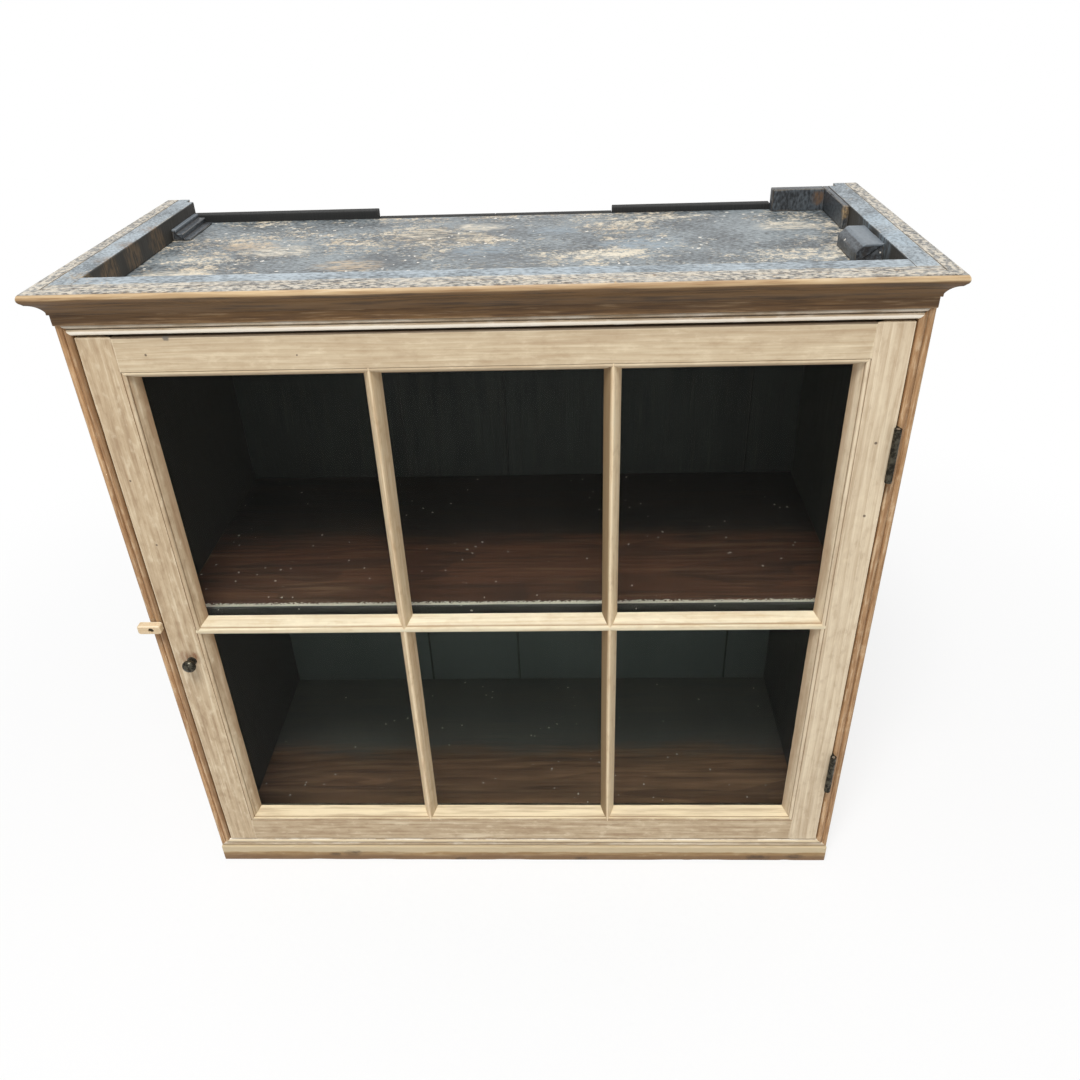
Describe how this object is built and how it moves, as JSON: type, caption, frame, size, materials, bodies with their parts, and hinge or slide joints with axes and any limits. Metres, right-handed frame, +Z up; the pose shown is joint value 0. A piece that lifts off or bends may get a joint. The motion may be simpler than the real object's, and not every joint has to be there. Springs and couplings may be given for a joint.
{
  "type": "glazed wall cabinet",
  "caption": "Old stripped-pine wall cabinet with a moulded cornice and a glazed door on butt hinges, held shut by a wooden turn button, with a shelf inside",
  "frame": {"origin": "on the base plane, at the middle of the width and of the depth", "axes": "+X to the viewer's right, +Y from the door to the back, +Z up"},
  "size_m": [0.916, 0.403, 0.857],
  "materials": {
    "stripped_pine": "stripped and waxed pine, worn",
    "bead_pine": "browner varnished pine, worn",
    "brown_pine": "brown pine, dark in the cove",
    "dark_pine": "dark stained pine, worn pale at the edges",
    "pale_pine": "bare pale pine",
    "pane_glass": "clear old window glass",
    "old_putty": "dry putty",
    "dark_iron": "dark iron",
    "worn_steel": "worn steel"
  },
  "bodies": {
    "carcass": {"back_board_1": "dark_pine", "back_board_2": "dark_pine", "back_board_3": "dark_pine", "back_board_4": "dark_pine", "back_board_5": "dark_pine", "base_board": "stripped_pine", "bead_bottom": "bead_pine", "bead_left": "bead_pine", "bead_right": "bead_pine", "bead_top": "bead_pine", "bottom_board": "dark_pine", "bottom_rail": "stripped_pine", "chamfered_block": "dark_pine", "corner_block": "dark_pine", "cornice_front": "brown_pine", "cornice_left": "brown_pine", "cornice_right": "brown_pine", "frieze_board": "stripped_pine", "hinge_frame_leaf_lower": "dark_iron", "hinge_frame_leaf_upper": "dark_iron", "hinge_frame_screws": "dark_iron", "hinge_pin_lower": "worn_steel", "hinge_pin_upper": "worn_steel", "left_side": "stripped_pine", "right_side": "stripped_pine", "shelf": "dark_pine", "shelf_bearer_left": "dark_pine", "shelf_bearer_right": "dark_pine", "side_cleat": "dark_pine", "stepped_block": "dark_pine", "top_board": "dark_pine", "top_rail": "stripped_pine", "turn_button_screw": "dark_iron"},
    "door": {"door_bottom_rail": "stripped_pine", "door_left_stile": "stripped_pine", "door_right_stile": "stripped_pine", "door_top_rail": "stripped_pine", "glazing_putty": "old_putty", "hinge_door_leaf_lower": "dark_iron", "hinge_door_leaf_upper": "dark_iron", "hinge_door_screws": "dark_iron", "horizontal_bar": "stripped_pine", "knob": "dark_iron", "knob_screw": "dark_iron", "pane_lower_left": "pane_glass", "pane_lower_middle": "pane_glass", "pane_lower_right": "pane_glass", "pane_upper_left": "pane_glass", "pane_upper_middle": "pane_glass", "pane_upper_right": "pane_glass", "vertical_bar_lower_left": "stripped_pine", "vertical_bar_lower_right": "stripped_pine", "vertical_bar_upper_left": "stripped_pine", "vertical_bar_upper_right": "stripped_pine"},
    "turn_button": {"turn_button": "pale_pine"}
  },
  "joints": [
    {"name": "door_hinge", "type": "hinge", "parent": "carcass", "child": "door", "pos_m": [0.4225, -0.1879, 0.4215], "axis": [0, 0, 1], "range_deg": [0, 170]},
    {"name": "button_pivot", "type": "hinge", "parent": "carcass", "child": "turn_button", "pos_m": [-0.4345, -0.18855, 0.438], "axis": [0, -1, 0], "continuous": true}
  ]
}
